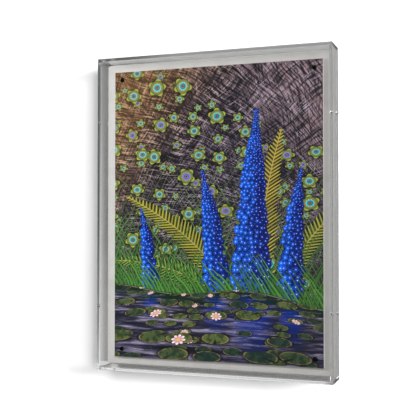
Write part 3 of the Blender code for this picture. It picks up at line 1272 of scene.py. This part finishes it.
@dataclass
class SocketScrews:
    """Low round-headed screws with a hexagon socket and a cut thread."""

    material: bpy.types.Material
    head: float = 0.0016
    shank: float = 0.00135
    socket: float = 0.0012
    socket_floor: float = 0.0010
    socket_cone: float = 0.0003
    socket_mouth: float = 0.00012
    rim: float = 0.0001
    runout: float = 0.0004
    point: float = 0.0012
    crown_share: float = 0.5
    thread_pitch: float = 0.0009
    thread_depth: float = 0.00025
    columns: int = 36

    def build(self, node: str, outward: Vector) -> None:
        """Make one screw in place of its solid.

        Args:
            node: the solid.
            outward: the way that its head points.
        """
        low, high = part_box(node)
        middle = (low + high) / 2
        axis = max(range(3), key=lambda index: abs(outward[index]))
        length = high[axis] - low[axis]
        tip = middle.copy()
        tip[axis] = high[axis] if outward[axis] > 0 else low[axis]
        radius = (high[(axis + 1) % 3] - low[(axis + 1) % 3]) / 2
        crown = self.crown_share * self.head
        turns = np.arange(self.head + self.runout, length - self.point - self.runout, self.thread_pitch / 6)
        profile = np.concatenate([
            [[0.0, self.socket_floor + self.socket_cone]],
            [[self.socket, self.socket_floor], [self.socket, self.socket_mouth]],
            arc((0.0, crown), (radius, -crown), 56, 6, 8),
            [[radius, crown + self.rim], [radius, self.head], [self.shank, self.head]],
            np.stack([np.full(len(turns), self.shank), turns], axis=-1),
            [[self.shank * 0.8, length - self.point], [0.0, length]],
        ])
        last = len(profile) - 2

        def shape_radius(radii: np.ndarray, angle: np.ndarray) -> np.ndarray:
            """A hexagon for the socket, and for the thread a ridge that climbs one pitch each turn.

            Args:
                radii: radius of each point on a plain round screw.
                angle: angle of each point.

            Returns:
                The new radii.
            """
            rows = np.arange(len(profile))[:, None]
            sector = (angle + math.pi / 6) % (math.pi / 3) - math.pi / 6
            hexagon = radii * math.cos(math.pi / 6) / np.cos(sector)
            phase = (profile[:, 1][:, None] / self.thread_pitch + angle / (2 * math.pi)) % 1.0
            cut = radii - self.thread_depth * np.abs(2 * phase - 1)
            out = np.where((rows >= 1) & (rows <= 2), hexagon, radii)
            return np.where((rows >= last - len(turns)) & (rows < last), cut, out)

        points = turned_points(profile, self.columns, tip, outward, shape_radius)
        faces = grid_quads(len(profile), self.columns)
        piece = add_piece(f"socket_{node}", points, faces, self.material, smooth_under=32.0)
        fit(piece, "screw_steel", node)


@dataclass
class TimberFrame:
    """Four mitred rails behind the board."""

    def build(self) -> None:
        """Dress the rails, with the brush marks along each."""
        upright = PaintedTimber(Grain.ALONG_Z).make()
        level = PaintedTimber(Grain.ALONG_X).make()
        for side in SIDES:
            dress("rail_" + side, upright)
        for end in ("top", "bottom"):
            dress("rail_" + end, level)


@dataclass
class HangingCleat:
    """Z-shaped aluminium bar on the top rail."""

    gauge: float = 0.0015
    fillet: float = 0.0004
    screw_hole: float = 0.0017
    overrun: float = 0.001
    smooth_under: float = 40.0

    def build(self) -> None:
        """Make the bar: a Z profile carried along X, with rounded corners and three holes."""
        low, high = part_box("hanging_cleat")
        screws = [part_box(f"cleat_screw_{name}") for name in CLEAT_SCREWS]
        height = (screws[0][0].z + screws[0][1].z) / 2
        shelf_top = 2 * height - high.z
        shelf_under = shelf_top - self.gauge
        inner_front, inner_back = low.y + self.gauge, high.y - self.gauge
        outline = np.array([
            (low.y, high.z), (inner_front, high.z), (inner_front, shelf_top), (high.y, shelf_top),
            (high.y, low.z), (inner_back, low.z), (inner_back, shelf_under), (low.y, shelf_under)])
        points = carry(outline, 0, (low.x, high.x))
        faces = capped_quads(2, len(outline))
        finish = BrushedMetal("mill_aluminium", (0.80, 0.81, 0.82), Grain.ALONG_X, (0.28, 0.5))
        piece = add_piece("cleat_bar", points, faces, finish.make(), smooth_under=0.0)
        round_edges(piece, self.fillet, 3)
        starts = [Vector(((a.x + b.x) / 2, high.y, height)) for a, b in screws]
        bore(piece, starts, -BACKWARDS, self.screw_hole, high.y - low.y + self.overrun)
        piece.data.shade_smooth()
        piece.data.set_sharp_from_angle(angle=math.radians(self.smooth_under))
        fit(piece, "cleat_aluminium", "hanging_cleat")


@dataclass
class WallBumpers:
    """Two soft pads at the bottom."""

    finish: Mottled = SOFT_RUBBER
    dish: float = 0.00006
    crown: float = 0.0002
    shoulder: float = 0.0010
    bevel: float = 0.0004
    columns: int = 48

    def build(self) -> None:
        """Make each pad: a shallow crown, a rounded shoulder and a straight side."""
        material = self.finish.make()
        for side in SIDES:
            node = "bumper_" + side
            low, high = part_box(node)
            radius, height = (high.x - low.x) / 2, high.y - low.y
            profile = np.concatenate([
                [[0.0, 0.0], [radius * 0.5, self.dish]],
                arc((radius - self.shoulder, self.shoulder + self.crown), (self.shoulder, -self.shoulder),
                    90, 0, 6),
                [[radius, height - self.bevel], [radius - self.bevel, height], [0.0, height]],
            ])
            points = turned_points(profile, self.columns, axis_at(node, high.y), BACKWARDS)
            piece = add_piece(f"pad_{node}", points, grid_quads(len(profile), self.columns), material)
            fit(piece, "bumper_rubber", node)


# ---- Studio ----

@dataclass(frozen=True)
class StagePaint:
    """Plain paint of the wall and floor, clear from behind. Through the acrylic it is a dimmer glow, a map
    of painted light and shade.
    """

    seen: float = 0.9
    lighting: float = 0.25
    glow: float = 0.36
    glow_left: float = 0.125
    glow_right: float = 0.58
    glow_edge: float = 0.38
    glow_top: float = 0.50
    glow_flare: float = 0.66
    glow_low: float = 0.13
    glow_gap: float = 0.10
    glow_rim: float = 0.80
    left_seam: float = 0.160
    left_rim: float = 0.164
    right_end: tuple[float, float] = (0.148, 0.160)
    top_band: tuple[float, float] = (0.441, 0.447)

    def make(self, name: str) -> bpy.types.Material:
        """Build the material: the glow is painted shade, dim behind the left side and behind the bottom of
        the frame, and painted light, bright along the bottom edge.

        Args:
            name: the material's name.

        Returns:
            The material.
        """
        recipe = Recipe(name)
        camera, soft = recipe.rays("Camera", "Diffuse")
        shade = self.lighting + camera * (self.seen - self.lighting)
        paint = recipe.fill(recipe.node("BsdfDiffuse"), recipe.grey(shade))
        x, _, z = recipe.split(recipe.place())
        # Painted shade and light seen through the acrylic: dim to the left, where the frame shades the wall,
        # brighter to the right, along a seam at the left, beside the frame and at the top.
        side = x.fade(-0.145, -0.05, self.glow_left, self.glow)
        side = side + x.fade(0.173, 0.183, 0.0, self.glow_right - self.glow)
        seam = abs(x + self.left_seam).fade(0.002, 0.005, self.glow_edge, 0.0)
        flare = x.fade(-0.198, -0.178, self.glow_flare, 0.0) * z.fade(0.24, 0.44, 1.0, 0.35)
        side = side + seam * z.fade(0.05, 0.42, 1.1, 0.5) + flare
        side = side + z.fade(0.06, 0.22, self.glow_low, 0.0) * x.until(-0.145, -0.10)
        side = side + (self.glow_top - side) * z.fade(*self.top_band)
        under = x.until(*self.right_end)
        # Painted shade: a dark glow behind the bottom of the frame, where the wall lies in its shadow.
        gap = z.until(0.025, 0.045) * x.fade(-0.158, -0.154) * under
        # Painted highlights: a bright glow along the left and bottom rims.
        rim_left = abs(x + self.left_rim).until(0.0035, 0.0055) * z.until(0.0, 0.08)
        rim_low = abs(z - 0.001).until(0.002, 0.004) * under * abs(x + self.left_seam).fade(0.004, 0.006)
        dim = side + gap * (self.glow_gap - side)
        shine = dim + rim_low.at_least(rim_left) * (self.glow_rim - dim)
        glow = recipe.fill(recipe.node("Emission"), Strength=shine)
        lit = recipe.fill(recipe.node("MixShader"), camera.at_least(soft), glow, paint)
        clear = recipe.fill(recipe.node("BsdfTransparent"))
        behind = recipe.read("NewGeometry", "Backfacing")
        return recipe.finish(recipe.fill(recipe.node("MixShader"), behind, lit, clear))


@dataclass(frozen=True)
class Lamp:
    """A flat lamp that faces the middle of the frame, `turn` degrees to the right and `rise` degrees up."""

    name: str
    turn: float
    rise: float
    distance: float
    width: float
    height: float
    power: float
    on_stage: bool
    mirrored: bool = True

    def build(self, target: Vector, lit: bpy.types.Collection) -> None:
        """Add the lamp.

        Args:
            target: the middle of the frame.
            lit: what it lights, which is either the stage or the frame.
        """
        turn, rise = math.radians(self.turn), math.radians(self.rise)
        away = Vector((math.sin(turn) * math.cos(rise), -math.cos(turn) * math.cos(rise), math.sin(rise)))
        light = bpy.data.lights.new(self.name, "AREA")
        light.shape = "RECTANGLE"
        light.size = self.width
        light.size_y = self.height
        light.energy = self.power
        item = bpy.data.objects.new(self.name, light)
        item.location = target + away * self.distance
        item.rotation_mode = "QUATERNION"
        item.rotation_quaternion = (-away).to_track_quat("-Z", "Y")
        item.light_linking.receiver_collection = lit
        if not self.on_stage:
            item.light_linking.blocker_collection = lit
        item.visible_glossy = self.mirrored
        item.visible_transmission = self.mirrored
        bpy.context.scene.collection.objects.link(item)


@dataclass
class Studio:
    """A pale wall and floor that are seen from their front only, soft lamps, and pale air round them."""

    wall_gap: float = 0.0002
    floor_drop: float = 0.55
    reach: float = 3.0
    lamps: tuple[Lamp, ...] = (
        Lamp("wall_lamp", 62.0, 9.5, 5.0, 1.05, 1.1, 518.0, True),
        Lamp("top_lamp", 4.0, 55.0, 5.0, 1.2, 1.2, 144.0, True),
        Lamp("key_lamp", 28.0, 34.0, 3.0, 1.4, 1.4, 50.0, False),
        Lamp("back_lamp", 152.0, 24.0, 2.0, 1.2, 1.2, 22.0, False, False),
        Lamp("fill_lamp", -62.0, 16.0, 1.2, 0.5, 0.5, 16.0, False, False),
    )
    air_seen: float = 0.92
    air_through: float = 0.40
    air_soft: float = 0.12
    air_gloss: tuple[float, float] = (0.04, 0.6)

    def sheet(self, name: str, corners: Sequence[tuple[float, float, float]]) -> bpy.types.Object:
        """Add one flat stage surface.

        Args:
            name: of the surface.
            corners: its corners, anticlockwise as seen from its front.

        Returns:
            The object.
        """
        mesh = bpy.data.meshes.new(name)
        mesh.from_pydata(list(corners), [], [(0, 1, 2, 3)])
        mesh.materials.append(StagePaint().make(name))
        item = bpy.data.objects.new(name, mesh)
        bpy.context.scene.collection.objects.link(item)
        return item

    def air(self) -> None:
        """Pale air, dimmer through the acrylic and as a light, and dark in front to keep the pane clear."""
        recipe = Recipe("studio_air", bpy.data.worlds)
        camera, soft, mirror = recipe.rays("Camera", "Diffuse", "Glossy")
        _, ahead, _ = recipe.split(recipe.read("TexCoord", "Generated"))
        gloss = ahead.fade(-0.75, -0.2, *self.air_gloss)
        strength = (self.air_through + camera * (self.air_seen - self.air_through)
                    + soft * (self.air_soft - self.air_through) + mirror * (gloss - self.air_through))
        air = recipe.fill(recipe.node("Background"), Strength=strength)
        bpy.context.scene.world = recipe.finish(air, "OutputWorld")

    def build(self) -> None:
        """Set up the wall, the floor and the lights."""
        low, high = CAD_BOX
        wall_y = high.y + self.wall_gap
        floor_z = low.z - self.floor_drop
        r = self.reach
        stage, model = (bpy.data.collections.new(name) for name in ("stage_lit", "frame_lit"))
        for item in bpy.context.scene.objects:
            if item.type == "MESH":
                model.objects.link(item)
        wall = ((-r, wall_y, floor_z), (r, wall_y, floor_z), (r, wall_y, r), (-r, wall_y, r))
        floor = ((-r, -r, floor_z), (r, -r, floor_z), (r, wall_y, floor_z), (-r, wall_y, floor_z))
        stage.objects.link(self.sheet("stage_wall", wall))
        stage.objects.link(self.sheet("stage_floor", floor))
        for lamp in self.lamps:
            lamp.build((low + high) / 2, stage if lamp.on_stage else model)
        self.air()
        bpy.context.scene.view_settings.view_transform = "Standard"


@dataclass
class Viewpoint:
    """The camera. Distances are in heights of the frame, from the middle of its front face."""

    lens: float = 70.35
    sensor: float = 36.0
    to_right: float = 0.8363
    forward: float = 2.345
    below: float = 0.0422
    turn: float = 19.69
    tilt: float = 1.33

    def build(self) -> None:
        """Place the camera."""
        low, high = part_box("front_pane")
        height = high.z - low.z
        data = bpy.data.cameras.new("viewpoint")
        data.lens = self.lens
        data.sensor_width = self.sensor
        camera = bpy.data.objects.new("viewpoint", data)
        camera.location = ((low.x + high.x) / 2 + self.to_right * height, low.y - self.forward * height,
                           (low.z + high.z) / 2 - self.below * height)
        camera.rotation_euler = Euler((math.radians(90.0 + self.tilt), 0.0, math.radians(self.turn)))
        bpy.context.scene.collection.objects.link(camera)
        bpy.context.scene.camera = camera


def main() -> None:
    """Build the whole scene."""
    logging.basicConfig(level=logging.INFO, format="%(message)s")
    AcrylicBox().build()
    MountBoard().build()
    PrintSheet().build()
    CornerPins().build()
    steel = BrushedMetal("screw_steel", (0.62, 0.62, 0.63), Grain.ALONG_Z).make()
    screws = SocketScrews(steel)
    for side, sign in zip(SIDES, (-1, 1)):
        for level in LEVELS:
            screws.build(f"side_screw_{side}_{level}", Vector((sign, 0, 0)))
    for name in CLEAT_SCREWS:
        screws.build(f"cleat_screw_{name}", Vector((0, 1, 0)))
    TimberFrame().build()
    HangingCleat().build()
    WallBumpers().build()
    Studio().build()
    Viewpoint().build()


if __name__ == "__main__":
    main()
